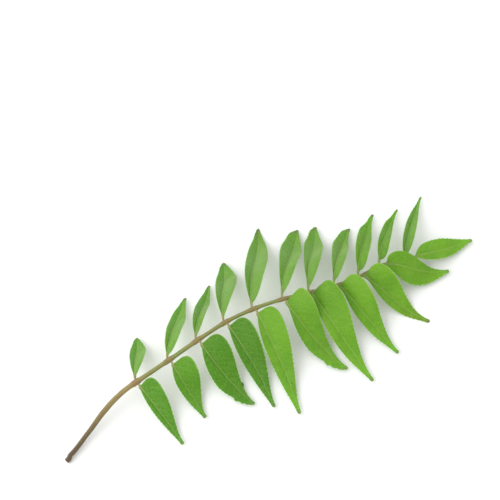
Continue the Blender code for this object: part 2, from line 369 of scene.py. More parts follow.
class CurryLeafShape(bpy.types.PropertyGroup):
    thickness: depth_setting(
        "Blade Thickness", "Thickness of a blade between its veins", 0.28, 1.0, least=0.1)
    midrib: depth_setting(
        "Midrib Depth", "Thickness of the midrib at the base of a leaflet", 0.8, 2.0, least=0.3)
    teeth: depth_setting("Tooth Depth", "Depth of the teeth along a blade's margin", 0.30, 1.0)
    quilting: depth_setting(
        "Quilting", "How far the blade swells between its side veins", 0.045, 0.4)
    groove: depth_setting("Midrib Groove", "Depth of the groove over the midrib", 0.07, 0.4)
    unevenness: depth_setting("Unevenness", "Slow hollows and swells in a blade", 0.28, 1.0)
    stalk_sides: IntProperty(
        name="Stalk Sides", description="Faces round the main stalk", default=28, min=8, max=64)


class CurryLeafColours(bpy.types.PropertyGroup):
    leaf: colour_setting("Leaf", "Upper side of a grown leaflet", (0.165, 0.335, 0.014))
    leaf_dark: colour_setting(
        "Leaf Shadow Tone", "Darker patches of the upper side", (0.108, 0.258, 0.010))
    leaf_bright: colour_setting(
        "Leaf Flecks", "Small yellowish flecks of the upper side", (0.25, 0.38, 0.04))
    # The deep green also paints shade on the inner half of each folded far leaflet.
    leaf_deep: colour_setting("Deep Leaf", "Older, deeper green leaflets", (0.052, 0.152, 0.005))
    # The pale green is partly painted sheen on the far leaflets' upper sides.
    leaf_pale: colour_setting("Pale Leaf", "Waxy, paler leaflets", (0.138, 0.260, 0.046))
    vein: colour_setting("Vein", "Midrib and side veins", (0.36, 0.55, 0.15))
    underside: colour_setting("Underside", "Lower side of a leaflet", (0.27, 0.42, 0.15))
    stalk: colour_setting("Stalk", "Main stalk between its leaflets", (0.245, 0.250, 0.058))
    stalk_cut: colour_setting(
        "Stalk at the Cut", "Darker bark near the cut end", (0.105, 0.066, 0.028))
    joint: colour_setting(
        "Joints", "Reddish bark where a leaflet leaves the stalk", (0.26, 0.125, 0.048))


class CurryLeafStage(bpy.types.PropertyGroup):
    floor: colour_setting("Floor", "Colour of the plain floor", (0.93, 0.94, 0.93))
    world: FloatProperty(
        name="Surroundings", description="Strength of the light from all round",
        default=0.93, min=0.0, max=5.0)
    lamp: FloatProperty(
        name="Main Light", description="Power of the large soft light", default=15.5,
        min=0.0, max=100.0, unit="POWER")
    elevation: FloatProperty(
        name="Camera Elevation", description="Height of the view over the floor",
        default=math.radians(58.0), unit="ROTATION")
    roll: FloatProperty(
        name="Camera Roll", description="Turn of the camera about its line of sight",
        default=math.radians(28.2), unit="ROTATION")
    distance: FloatProperty(
        name="Camera Distance", description="From the camera to the point it looks at",
        default=0.55, min=0.1, max=5.0, unit="LENGTH")
    lens: FloatProperty(
        name="Lens", description="Focal length in millimetres", default=90.0, min=20.0, max=200.0)


# ---- curves and axes ----


def ramp(value, edge):
    """Straight from 0 at the first value of `edge` to 1 at the second, and level beyond them."""
    nought, whole = edge
    return min(1.0, max(0.0, (value - nought) / (whole - nought)))


def eased(t):
    return t * t * (3 - 2 * t)


def along(table, x):
    """Smooth value of a table of rows (x, a, b, ...) at x, by a Catmull-Rom curve."""
    last = len(table) - 2
    i = next((k for k in range(last) if x < table[k + 1][0]), last)
    t = (x - table[i][0]) / (table[i + 1][0] - table[i][0])
    rows = [table[max(0, i - 1)], table[i], table[i + 1], table[min(len(table) - 1, i + 2)]]
    out = []
    for a, b, c, d in list(zip(*rows))[1:]:
        out.append(0.5 * (2 * b + (c - a) * t + (2 * a - 5 * b + 4 * c - d) * t * t
                          + (3 * b - a - 3 * c + d) * t ** 3))
    return out


def stalk_point(x):
    y, z, _ = along(STALK, x)
    return Vector((x, y, z))


def stalk_heading(x):
    step = stalk_point(x + HEADING_REACH) - stalk_point(x - HEADING_REACH)
    return math.atan2(step.y, step.x)


def leaf_axis(base, heading, length, rise, curl, level, droop):
    """Points down a leaflet: it leaves its stalk at `rise`, falls, and comes level at `level`."""
    step = (LEAF_STALK + length) / AXIS_STEPS
    points = [base.copy()]
    for k in range(AXIS_STEPS):
        s = (k + 0.5) / AXIS_STEPS
        fall = min(1, s / level)
        pitch = rise * (1 - fall) ** 2 - droop * math.sin(math.pi * fall)
        turn = heading + curl * s
        points.append(points[-1] + step * Vector((
            math.cos(pitch) * math.cos(turn), math.cos(pitch) * math.sin(turn), math.sin(pitch))))
    return points


def on_axis(points, share):
    place = ramp(share, (0, 1)) * (len(points) - 1)
    i = min(int(place), len(points) - 2)
    return points[i].lerp(points[i + 1], place - i)


def axis_of(side, row, rest):
    """The axis of a leaflet, which droops until its tip comes down to the height `rest`. The end
    leaflet turns and curls as the near ones do."""
    turn = (side or NEAR) * math.radians(row.angle)
    curl = (side or NEAR) * -math.radians(row.curl)
    heading = stalk_heading(min(row.station, STALK[-1][0] - HEADING_REACH)) + turn
    form = (stalk_point(row.station), heading, row.length, math.radians(row.rise), curl,
            LEVEL_FROM[side])
    low, high = DROOPS
    for _ in range(HALVINGS):
        droop = 0.5 * (low + high)
        axis = leaf_axis(*form, droop)
        low, high = (droop, high) if axis[-1].z > rest else (low, droop)
    return axis


def ground_under(row):
    return 0.0 if row in CARRIERS else CLEARANCE


def youth(row):
    return ramp(row.station, YOUNG)


# ---- blades ----


def half_breadth(s, broadest, taper):
    """Outline of one half of a blade: 1 where it is broadest, 0 at its base and its tip."""
    rising = (s / broadest) ** (taper * broadest)
    return rising * ((1 - s) / (1 - broadest)) ** (taper * (1 - broadest))


def tooth_notch(s, count, seed):
    """0 at a tooth's point, 1 in the notch after it. Each tooth points to the tip."""
    place = s * count
    place += TOOTH_WANDER * noise.noise(Vector((place * TOOTH_WANDER_RATE, seed, 0.5)))
    t = place - math.floor(place)
    return 1 - t / TOOTH_SLOPE if t < TOOTH_SLOPE else (t - TOOTH_SLOPE) / (1 - TOOTH_SLOPE)


class Blade:
    """Upper surface of one leaflet. Places on it are `s`, from 0 at the base to 1 at the tip, and
    `across`, from -1 at the inner margin to 1 at the outer one."""

    def __init__(self, side, row, phase, number, shape):
        self.side = side
        self.row = row
        self.phase = phase
        self.number = number
        self.roll = math.radians(row.roll)
        self.fold = math.radians(row.fold)
        self.thin = shape.thickness / MM
        self.rib = shape.midrib / MM
        self.teeth = shape.teeth / MM
        self.quilting = shape.quilting / MM
        self.groove = shape.groove / MM * (FAR_GROOVE if side == FAR else 1)
        self.unevenness = shape.unevenness / MM
        self.ground = ground_under(row)
        self.axis = axis_of(side, row, self.ground + self.thin / 2)
        self.start = LEAF_STALK / (LEAF_STALK + row.length)
        self.base_reach = BASE_REACH * youth(row) if side == NEAR else 0.0
        self.aside, self.drawn = FAR_TIPS[FAR_SIDE.index(row)] if side == FAR else (0.0, 0.0)

    def section_at(self, s):
        """Middle of the cross-section, its directions, and how much it still rolls and folds."""
        share = self.start + (1 - self.start) * s
        middle = on_axis(self.axis, share)
        ahead = on_axis(self.axis, share + AXIS_REACH)
        forward = (ahead - on_axis(self.axis, share - AXIS_REACH)).normalized()
        edge = Vector((forward.y, -forward.x, 0)).normalized() * (self.side or FAR)
        up = edge.cross(forward)
        up = up if up.z > 0 else -up
        ease = 1 - min(1, share / LEVEL_FROM[self.side]) ** 3
        tilt = self.roll * ease
        edge, up = (edge * math.cos(tilt) + up * math.sin(tilt),
                    up * math.cos(tilt) - edge * math.sin(tilt))
        return middle, forward, edge, up, ease

    def outline_at(self, s, across):
        """Half breadth of the smooth outline, which never closes to a point."""
        row = self.row
        if across > 0:
            half = row.outer * half_breadth(s, row.outer_at, OUTER_TAPER[self.side])
        else:
            half = row.inner * half_breadth(s, row.inner_at, INNER_TAPER[self.side])
        if self.side == END:
            half *= END_SHARE
        elif across <= 0:
            half *= INNER_SHARE
        drawn = self.drawn * (OUTER_DRAWN if across > 0 else 1)
        half *= 1 - drawn * eased(ramp(s, DRAWN))
        if self.number == GAP_BESIDE and across > 0:
            half *= 1 - GAP_SHARE * eased(ramp(s, GAP_START))
        half *= BREADTH * row.length
        least = TIP_HALF[self.side]
        # A plain limit near the base, and a smooth blend into it towards the tip.
        return max(half, least) if s < 0.5 else math.hypot(half, least * (2 * s - 1))

    def scab_at(self, s, across):
        if self.number != SCABBED or across < 0:
            return 0.0
        return across ** SCAB_POWER * math.exp(-((s - SCAB_AT) * self.row.length / SCAB_SIZE) ** 2)

    def half_at(self, s, across):
        """Half breadth with teeth, torn places and scab."""
        whole = self.outline_at(s, across)
        lean = abs(across)
        seed = self.number + (OUTER_TEETH_SEED if across > 0 else INNER_TEETH_SEED)
        notch = tooth_notch(s, self.row.length * TEETH_PER_MM, seed)
        strength = ramp(s, TEETH_START) * ramp(s, TEETH_END) * ramp(whole, TEETH_ROOM)
        half = whole - self.teeth * strength * notch * lean ** TEETH_POWER
        if self.number in TORN and across < 0:
            spot = Vector((s * BITE_RATE, self.number, 0.0))
            reach = lean ** BITE_POWER * (1 + BITE_ROUGHNESS * noise.noise(spot))
            for starts, deepest, ends, depth in BITES:
                bite = min((s - starts) / (deepest - starts), (ends - s) / (ends - deepest))
                half -= depth * reach * max(0.0, bite)
        return half + SCAB_REACH * self.scab_at(s, across)

    def vein_place(self, s, far):
        """Rises by 1 from one side vein to the next. Veins lean and arch towards the tip."""
        return (s * self.row.length - VEIN_LEAN * far - VEIN_ARCH * far * far) / VEIN_SPACING

    def thickness_at(self, s, far):
        width = RIB_WIDTH - RIB_NARROWING * s
        rib = (self.rib * (1 - RIB_THINNING * s) - self.thin) * math.exp(-(far / width) ** 2)
        place = self.vein_place(s, far)
        off = abs(place - round(place)) * VEIN_SPACING
        vein = VEIN_HEIGHT * math.exp(-(off / VEIN_WIDTH) ** 2) * ramp(far, VEIN_END)
        return self.thin + max(0.0, rib) + vein

    def lift_at(self, s, across, half, ease):
        """Height over the folded half: wave, swelling between veins, unevenness and groove."""
        lean = abs(across)
        far = half * lean
        wave = math.tau * WAVES * s + self.phase + (WAVE_LAG if across > 0 else 0)
        lift = WAVE * half * lean ** 2 * math.sin(wave) * ease
        room = ramp(far, QUILT_BY_MIDRIB) * ramp(half - far, QUILT_BY_MARGIN) * ramp(s, QUILT_END)
        swell = abs(math.sin(math.pi * self.vein_place(s, far))) ** QUILT_POWER - QUILT_LEVEL
        lift += self.quilting * swell * room
        spot = Vector((s * self.row.length, math.copysign(far, across), UNEVEN_SEED * self.number))
        slow = noise.noise(spot / UNEVEN_SIZE)
        slow += UNEVEN_FINE_SHARE * noise.noise(spot / (UNEVEN_FINER * UNEVEN_SIZE))
        share = UNEVEN_LEVEL + (1 - UNEVEN_LEVEL) * ease
        lift += self.unevenness * slow * ramp(far, UNEVEN_BY_MIDRIB) * share
        return lift - self.groove * math.exp(-(far / GROOVE_WIDTH) ** 2) * ramp(s, GROOVE_END)

    def reach_back_at(self, s, across, half):
        """How far the outer half's shoulder and a young base reach back over the stalk."""
        outer = max(0, across)
        share = half / (BREADTH * self.row.length * self.row.outer)
        shoulder = self.row.shoulder * share * outer * ramp(s, SHOULDER_END)
        base = self.base_reach * ramp(s, BASE_END) ** 2
        return shoulder + base * (1 - BASE_OUTER_LOSS * outer)

    def point(self, s, across, section):
        """A point of the surface, and how far it is from the midrib."""
        middle, forward, edge, up, ease = section
        lean = abs(across)
        half = self.half_at(s, across)
        far = half * lean
        bend = self.fold * ease * (1 - FOLD_EASING * lean)
        height = far * math.sin(bend) + self.lift_at(s, across, half, ease) + self.thin / 2
        point = middle - forward * self.reach_back_at(s, across, half)
        point += edge * half * across * math.cos(bend) + up * height
        rounding = TIP_ROUNDING * lean ** 2 + TIP_NOTCH * (1 - lean) ** 2
        rounding *= ramp(s, ROUNDED) ** 2
        late = ramp(s, REACHING) ** 2
        point += forward * (TIP_REACH[self.side] * late - self.row.length * rounding)
        point += edge * self.aside * late
        under = self.thickness_at(s, far) if s > RIB_CLEAR_FROM else self.thin
        point.z = max(point.z, self.ground + under)
        return point, far


# ---- meshes ----

BLADE_VALUES = ("leaf_along", "leaf_across", "leaf_far", "leaf_vein", "leaf_tone", "leaf_scab")


def placed(name, data):
    """A new object of the scene with this mesh, light or camera."""
    made = bpy.data.objects.new(name, data)
    bpy.context.scene.collection.objects.link(made)
    return made


def mesh_object(name, bm, materials):
    """An object with smooth faces made from `bm`, which holds millimetres of the tables."""
    for vert in bm.verts:
        vert.co = (vert.co + CENTRE) * MM
    for face in bm.faces:
        face.smooth = True
    mesh = bpy.data.meshes.new(name)
    bm.to_mesh(mesh)
    bm.free()
    for material in materials:
        mesh.materials.append(material)
    return placed(name, mesh)


def finished(made):
    """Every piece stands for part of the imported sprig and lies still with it."""
    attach(made, "root")
    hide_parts(NODE)


def blade_object(name, blade, tone, materials, shape):
    """A leaflet blade: an upper surface with a thickness that swells under the midrib."""
    rings = round(blade.row.length * RINGS_PER_MM)
    bm = bmesh.new()
    bmesh.ops.create_grid(bm, x_segments=rings, y_segments=2 * HALF_COLUMNS, size=1.0)
    layers = [bm.verts.layers.float.new(key) for key in BLADE_VALUES]
    sections = [blade.section_at(k / rings) for k in range(rings + 1)]
    weights = []
    for vert in bm.verts:
        index = round((vert.co.x + 1) / 2 * rings)
        s, across = index / rings, math.copysign(abs(vert.co.y) ** CROWDING, vert.co.y)
        vert.co, far = blade.point(s, across, sections[index])
        vein = blade.vein_place(s, far) + (VEIN_LEAD if across > 0 else 0)
        values = (s, across, far, vein, tone, blade.scab_at(s, across))
        for layer, value in zip(layers, values):
            vert[layer] = value
        weights.append(min(1.0, blade.thickness_at(s, far) / blade.rib))
    bmesh.ops.recalc_face_normals(bm, faces=bm.faces)
    if sum(face.normal.z for face in bm.faces) < 0:
        bmesh.ops.reverse_faces(bm, faces=bm.faces)
    made = mesh_object(name, bm, materials)
    group = made.vertex_groups.new(name="thickness")
    for index, weight in enumerate(weights):
        group.add([index], weight, "REPLACE")
    solid = made.modifiers.new("thickness", "SOLIDIFY")
    solid.thickness = shape.midrib
    solid.offset = -1
    solid.vertex_group = group.name
    solid.material_offset = 1
    solid.material_offset_rim = 2
    finished(made)


def bridged(bm, lower, upper):
    """Faces between two rings of points, listed the same way round."""
    count = len(lower)
    return [bm.faces.new((lower[j], lower[(j + 1) % count], upper[(j + 1) % count], upper[j]))
            for j in range(count)]


def tube_rings(bm, path, radii, sides, profile):
    """Rings of points round a path. `profile` gives the share of the radius at an angle."""
    rings = []
    for k, point in enumerate(path):
        ahead = path[min(len(path) - 1, k + 1)]
        forward = (ahead - path[max(0, k - 1)]).normalized()
        right = forward.cross(Vector((0, 0, 1))).normalized()
        up = right.cross(forward)
        ring = []
        for j in range(sides):
            angle = math.tau * j / sides
            reach = radii[k] * profile(k, angle)
            ring.append(bm.verts.new(
                point + right * reach * math.cos(angle) + up * reach * math.sin(angle)))
        rings.append(ring)
    for lower, upper in zip(rings, rings[1:]):
        bridged(bm, lower, upper)
    return rings


def channel(angle, depth, width):
    """A groove along the top of a stalk, as a share of its radius."""
    return depth * math.exp(-((angle - math.pi / 2) / width) ** 2)


def stalk_profile(k, angle):
    ridges = sum(depth * math.sin(count * angle + start + twist * k)
                 for count, depth, start, twist in RIDGES)
    groove = channel(angle, *STALK_CHANNEL) * ramp(k, CHANNEL_START)
    knots = KNOT_DEPTH * noise.noise(Vector((k * KNOT_RATE, angle, 2.0)))
    return STALK_SHARE + ridges - groove + knots


def leaf_stalk_profile(k, angle):
    return 1 - channel(angle, *LEAF_STALK_CHANNEL)


def cut_face(bm, rim, centre, forward, share_layer):
    """Ragged rings from the rim of the cut end in to its hollow middle."""
    outer = rim
    for share, depth in CUT_RINGS:
        inner = []
        for vert in rim:
            ragged = CUT_RAGGED * noise.noise(vert.co * 3 + Vector((share * 9, 0, 0)))
            inner.append(bm.verts.new(
                centre + (vert.co - centre) * share + forward * (depth + ragged)))
            inner[-1][share_layer] = share
        for face in bridged(bm, inner, outer):
            face.material_index = 1
        outer = inner
    bm.faces.new(list(reversed(outer))).material_index = 1


# ---- shader nodes ----


def feed(tree, socket, given):
    """Links a socket to another one, or sets its value. A colour is given without its alpha."""
    if isinstance(given, bpy.types.NodeSocket):
        tree.links.new(given, socket)
    else:
        socket.default_value = (*given, 1) if socket.type == "RGBA" else given


def feed_all(tree, inputs, **values):
    """Feeds inputs of a node by name, with _ for a space."""
    for name, value in values.items():
        feed(tree, inputs[name.replace("_", " ")], value)


def value_node(tree, operation, *values, clamp=False):
    node = tree.nodes.new("ShaderNodeMath")
    node.operation = operation
    node.use_clamp = clamp
    for socket, given in zip(node.inputs, values):
        feed(tree, socket, given)
    return node.outputs[0]


def times(tree, a, b):
    return value_node(tree, "MULTIPLY", a, b)


def scaled(tree, value, factor, added):
    return value_node(tree, "MULTIPLY_ADD", value, factor, added)


def opposite(tree, value):
    return value_node(tree, "SUBTRACT", 1.0, value, clamp=True)


def smooth_step(tree, value, edge):
    node = tree.nodes.new("ShaderNodeMapRange")
    node.interpolation_type = "SMOOTHSTEP"
    feed_all(tree, node.inputs, Value=value, From_Min=edge[0], From_Max=edge[1])
    return node.outputs["Result"]


def layered(tree, colour, layers):
    """Colours over one another. Each layer: its mask, its share of the mask, and its colour."""
    for mask, share, over in layers:
        node = tree.nodes.new("ShaderNodeMix")
        node.data_type = "RGBA"
        feed(tree, node.inputs[0], times(tree, mask, share))
        feed(tree, node.inputs[6], colour)
        feed(tree, node.inputs[7], over)
        colour = node.outputs[2]
    return colour


def attribute(tree, name):
    node = tree.nodes.new("ShaderNodeAttribute")
    node.attribute_name = name
    return node.outputs["Fac"]


def place_in(tree):
    return tree.nodes.new("ShaderNodeTexCoord").outputs["Object"]


def noise_value(tree, scale, detail=2.0, place=None):
    node = tree.nodes.new("ShaderNodeTexNoise")
    feed_all(tree, node.inputs, Scale=scale, Detail=detail, Vector=place or place_in(tree))
    return node.outputs["Fac"]


def cell_distance(tree, scale, feature="F1"):
    node = tree.nodes.new("ShaderNodeTexVoronoi")
    node.feature = feature
    feed_all(tree, node.inputs, Scale=scale, Vector=place_in(tree))
    return node.outputs["Distance"]


def new_group(name, inputs):
    """A shader node group and what it is given, by label with its usual value."""
    tree = bpy.data.node_groups.new(name, "ShaderNodeTree")
    for label, default in inputs.items():
        socket = tree.interface.new_socket(label, in_out="INPUT", socket_type="NodeSocketFloat")
        socket.default_value = default
    return tree, tree.nodes.new("NodeGroupInput").outputs


def give_out(tree, results):
    """Ends a group: an output for each result."""
    for label in results:
        tree.interface.new_socket(label, in_out="OUTPUT", socket_type="NodeSocketFloat")
    out = tree.nodes.new("NodeGroupOutput").inputs
    for label, result in results.items():
        tree.links.new(result, out[label])
    return tree


def leaf_pattern():
    """Masks of a blade's midrib, side veins, net of small veins, oil glands, mottling, margin
    and tip."""
    tree, given = new_group("leaf_pattern", {"Net Scale": 900.0, "Mottle Scale": 140.0})
    along_leaf = attribute(tree, "leaf_along")
    across = value_node(tree, "ABSOLUTE", attribute(tree, "leaf_across"))
    width = scaled(tree, along_leaf, *MIDRIB_WIDTH)
    midrib = opposite(tree, value_node(tree, "DIVIDE", attribute(tree, "leaf_far"), width))
    wobble = times(tree, noise_value(tree, WOBBLE_SCALE), VEIN_WOBBLE)
    place = value_node(tree, "ADD", attribute(tree, "leaf_vein"), wobble)
    off = value_node(tree, "PINGPONG", place, 0.5)
    veins = times(tree, smooth_step(tree, off, VEIN_EDGE), smooth_step(tree, across, VEIN_FADE))
    net = cell_distance(tree, given["Net Scale"], "DISTANCE_TO_EDGE")
    glands = cell_distance(tree, GLAND_SCALE)
    return give_out(tree, {
        "Midrib": midrib,
        "Side Veins": veins,
        "Net": smooth_step(tree, net, NET_EDGE),
        "Glands": smooth_step(tree, glands, GLAND_EDGE),
        "Mottle": noise_value(tree, given["Mottle Scale"], 3.0),
        "Margin": smooth_step(tree, across, MARGIN_EDGE),
        "Tip": smooth_step(tree, along_leaf, TIP_EDGE),
    })


def bark_pattern():
    """Masks of fine lengthwise fibres, small corky dots and patches of a green twig."""
    tree, given = new_group("bark_pattern", {"Fibre Scale": 2600.0, "Dot Scale": 1400.0})
    mapping = tree.nodes.new("ShaderNodeMapping")
    feed_all(tree, mapping.inputs, Scale=FIBRE_STRETCH, Vector=place_in(tree))
    dots = cell_distance(tree, given["Dot Scale"])
    return give_out(tree, {
        "Fibres": noise_value(tree, given["Fibre Scale"], 3.0, mapping.outputs[0]),
        "Dots": smooth_step(tree, dots, DOT_EDGE),
        "Patches": noise_value(tree, PATCH_SCALE),
    })


def pattern_in(tree, make, **values):
    """Outputs of one of the two patterns, placed in a material. Each pattern is made once."""
    node = tree.nodes.new("ShaderNodeGroup")
    node.node_tree = bpy.data.node_groups.get(make.__name__) or make()
    feed_all(tree, node.inputs, **values)
    return node.outputs


# ---- materials ----


def started(name, roughness):
    """A new material, its tree and the inputs of its Principled shader."""
    material = bpy.data.materials.new(name)
    material.use_nodes = True
    tree = material.node_tree
    inputs = tree.nodes["Principled BSDF"].inputs
    feed_all(tree, inputs, Roughness=roughness)
    return material, tree, inputs


def surfaced(tree, inputs, colour, height, distance, strength=1.0):
    """Gives a shader its colour, and its fine relief from a height."""
    bump = tree.nodes.new("ShaderNodeBump")
    feed_all(tree, bump.inputs, Strength=strength, Distance=distance, Height=height)
    feed_all(tree, inputs, Normal=bump.outputs[0], Base_Color=colour)


def translucent_blade(tree, inputs):
    feed_all(tree, inputs, Subsurface_Weight=0.8, Subsurface_Radius=(0.5, 1.0, 0.2),
             Subsurface_Scale=1.4 * MM)


def scab_mask(tree):
    return smooth_step(tree, attribute(tree, "leaf_scab"), SCAB_EDGE)


def upper_leaf(colours):
    material, tree, inputs = started("leaf_upper_side", 0.38)
    pattern = pattern_in(tree, leaf_pattern, Net_Scale=850.0, Mottle_Scale=120.0)
    along_leaf = attribute(tree, "leaf_along")
    tone = attribute(tree, "leaf_tone")
    # The pale tone is partly the leaflets' own and partly painted sheen on the far leaflets.
    paler = value_node(tree, "MAXIMUM", tone, 0.0, clamp=True)
    deeper = value_node(tree, "MULTIPLY", tone, -1.0, clamp=True)
    shaded_inner_half = smooth_step(tree, attribute(tree, "leaf_across"), INNER_SHADE_EDGE)
    flecks = noise_value(tree, FLECK_SCALE, 3.0)
    fading = scaled(tree, along_leaf, *MIDRIB_SHARE)
    green = layered(tree, colours.leaf, (
        (smooth_step(tree, pattern["Mottle"], MOTTLE_EDGE), 0.6, colours.leaf_dark),
        (smooth_step(tree, flecks, FLECK_EDGE), 0.30, colours.leaf_bright),
        (paler, 1.0, colours.leaf_pale),
        (deeper, 1.0, colours.leaf_deep),
        # Painted shade: the inner half of each pale, folded far leaflet is darker, as the half of
        # the fold turned from the lamp.
        (times(tree, shaded_inner_half, times(tree, paler, paler)), 0.48, colours.leaf_deep),
        (smooth_step(tree, along_leaf, BASE_EDGE), 0.08, colours.leaf_deep),
        (opposite(tree, pattern["Net"]), 0.14, colours.vein),
        (pattern["Side Veins"], 0.12, colours.vein),
        (times(tree, pattern["Midrib"], fading), 1.0, colours.vein),
        (pattern["Glands"], 0.16, colours.leaf_dark),
        (pattern["Margin"], 0.55, colours.vein),
        (pattern["Tip"], 0.7, TIP_BROWN),
        (scab_mask(tree), 1.0, SCAB_BROWN),
    ))
    height = scaled(tree, pattern["Side Veins"], -0.6, times(tree, pattern["Net"], 0.45))
    height = scaled(tree, pattern["Glands"], 0.2, height)
    surfaced(tree, inputs, green, height, 0.05 * MM, 0.7)
    feed_all(tree, inputs, Roughness=scaled(tree, pattern["Mottle"], 0.16, 0.30),
             Specular_IOR_Level=0.16)
    translucent_blade(tree, inputs)
    return material


def lower_leaf(colours):
    material, tree, inputs = started("leaf_underside", 0.6)
    pattern = pattern_in(tree, leaf_pattern, Net_Scale=700.0, Mottle_Scale=160.0)
    green = layered(tree, colours.underside, (
        (pattern["Mottle"], 0.4, colours.leaf),
        (opposite(tree, pattern["Net"]), 0.3, UNDER_NET),
        (pattern["Side Veins"], 0.6, UNDER_VEIN),
        (pattern["Midrib"], 1.0, UNDER_MIDRIB),
        (pattern["Glands"], 0.3, colours.leaf_dark),
    ))
    height = scaled(tree, pattern["Net"], -0.5, pattern["Side Veins"])
    surfaced(tree, inputs, green, height, 0.08 * MM, 0.8)
    translucent_blade(tree, inputs)
    return material


def leaf_rim(colours):
    material, tree, inputs = started("leaf_rim", 0.5)
    pattern = pattern_in(tree, leaf_pattern, Net_Scale=700.0, Mottle_Scale=300.0)
    green = layered(tree, RIM_PALE, (
        (pattern["Mottle"], 1.0, colours.vein),
        (pattern["Tip"], 0.8, RIM_TIP_BROWN),
        (scab_mask(tree), 1.0, SCAB_BROWN),
    ))
    surfaced(tree, inputs, green, pattern["Mottle"], 0.03 * MM)
    return material


def stalk_bark(colours):
    material, tree, inputs = started("stalk_bark", 0.5)
    pattern = pattern_in(tree, bark_pattern, Fibre_Scale=2400.0, Dot_Scale=1200.0)
    length = attribute(tree, "stalk_along")
    young = smooth_step(tree, length, YOUNG_EDGE)
    warmth = scaled(tree, young, *JOINT_SHARE)
    bark = layered(tree, colours.stalk, (
        (smooth_step(tree, pattern["Patches"], PATCH_EDGE), 1.0, STALK_GREENER),
        (smooth_step(tree, length, LOWER_EDGE), 1.0, STALK_LOWER),
        (smooth_step(tree, length, CUT_EDGE), 1.0, colours.stalk_cut),
        (young, 0.55, STALK_YOUNG),
        (attribute(tree, "stalk_joint"), warmth, colours.joint),
        (smooth_step(tree, pattern["Fibres"], FIBRE_EDGE), 0.35, STALK_FIBRE),
        (pattern["Dots"], 0.45, STALK_DOT),
    ))
    feed_all(tree, inputs, Roughness=scaled(tree, pattern["Fibres"], 0.3, 0.36))
    height = scaled(tree, pattern["Dots"], 0.5, pattern["Fibres"])
    surfaced(tree, inputs, bark, height, 0.10 * MM, 0.8)
    return material


def cut_pith():
    material, tree, inputs = started("stalk_cut_face", 0.8)
    grain = noise_value(tree, GRAIN_SCALE, 4.0)
    pith = layered(tree, PITH, (
        (smooth_step(tree, attribute(tree, "stalk_joint"), PITH_EDGE), 1.0, PITH_RIM),
        (grain, 0.5, PITH_GRAIN),
    ))
    surfaced(tree, inputs, pith, grain, 0.12 * MM)
    return material


def leaflet_stalk_skin(colours):
    material, tree, inputs = started("leaflet_stalk_skin", 0.45)
    pattern = pattern_in(tree, bark_pattern, Fibre_Scale=3200.0, Dot_Scale=2000.0)
    skin = layered(tree, LEAF_STALK_TAN, (
        (attribute(tree, "stalk_joint"), 1.0, colours.joint),
        (pattern["Fibres"], 0.35, LEAF_STALK_FIBRE),
        (attribute(tree, "stalk_young"), 0.7, LEAF_STALK_YOUNG),
    ))
    surfaced(tree, inputs, skin, pattern["Fibres"], 0.06 * MM)
    return material


def leaf_materials(colours):
    """Upper side, underside and rim of a blade, which all the blades share."""
    found = [bpy.data.materials.get(name)
             for name in ("leaf_upper_side", "leaf_underside", "leaf_rim")]
    if all(found):
        return found
    return [upper_leaf(colours), lower_leaf(colours), leaf_rim(colours)]


# ---- operators ----


def phases():
    """Where the waves of each blade's margins start, in the order of `SIDES`."""
    draw = random.Random(SEED)
    return [draw.uniform(0, math.tau) for _, rows in SIDES.values() for _ in rows]


def make_blades(context, side, first):
    """The blades of one side. `first` is the number of its first leaflet among them all."""
    shape = context.scene.curry_leaf_shape
    materials = leaf_materials(context.scene.curry_leaf_colours)
    label, rows = SIDES[side]
    starts = phases()[first:]
    for k, (row, tone) in enumerate(zip(rows, TONES[side])):
        name = f"{label}_leaflet_{k + 1:02d}" if len(rows) > 1 else f"{label}_leaflet"
        blade_object(name, Blade(side, row, starts[k], first + k, shape), tone, materials, shape)
    return {"FINISHED"}


class CURRYLEAF_OT_near_leaflets(bpy.types.Operator):
    """Build the broad leaflets on the near side of the stalk"""
    bl_idname = "curryleaf.near_leaflets"
    bl_label = "Near Leaflets"

    def execute(self, context):
        return make_blades(context, NEAR, 0)


class CURRYLEAF_OT_far_leaflets(bpy.types.Operator):
    """Build the folded leaflets on the far side of the stalk"""
    bl_idname = "curryleaf.far_leaflets"
    bl_label = "Far Leaflets"

    def execute(self, context):
        return make_blades(context, FAR, len(NEAR_SIDE))


class CURRYLEAF_OT_end_leaflet(bpy.types.Operator):
    """Build the leaflet at the end of the stalk"""
    bl_idname = "curryleaf.end_leaflet"
    bl_label = "End Leaflet"

    def execute(self, context):
        return make_blades(context, END, len(NEAR_SIDE) + len(FAR_SIDE))


class CURRYLEAF_OT_main_stalk(bpy.types.Operator):
    """Build the main stalk with its joints and its cut end"""
    bl_idname = "curryleaf.main_stalk"
    bl_label = "Main Stalk"

    def execute(self, context):
        first, last = STALK[0][0], STALK[-1][0]
        path, radii, joints = [], [], []
        for k in range(STALK_RINGS + 1):
            x = first + (last - first) * k / STALK_RINGS
            swell = min(1, sum(math.exp(-((x - row.station) / NODE_SPREAD) ** 2)
                               for row in NEAR_SIDE + FAR_SIDE))
            path.append(stalk_point(x))
            radii.append(along(STALK, x)[2] * (1 + NODE_SWELL * swell))
            joints.append(swell)
        bm = bmesh.new()
        length_layer = bm.verts.layers.float.new("stalk_along")
        joint_layer = bm.verts.layers.float.new("stalk_joint")
        sides = context.scene.curry_leaf_shape.stalk_sides
        rings = tube_rings(bm, path, radii, sides, stalk_profile)
        for k, ring in enumerate(rings):
            for vert in ring:
                vert[length_layer] = k / STALK_RINGS
                vert[joint_layer] = joints[k]
        cut_face(bm, rings[0], path[0], (path[1] - path[0]).normalized(), joint_layer)
        bm.faces.new(rings[-1])
        for vert in bm.verts:
            vert.co.z = max(vert.co.z, 0.0)
        bmesh.ops.recalc_face_normals(bm, faces=bm.faces)
        colours = context.scene.curry_leaf_colours
        finished(mesh_object("main_stalk", bm, (stalk_bark(colours), cut_pith())))
        return {"FINISHED"}


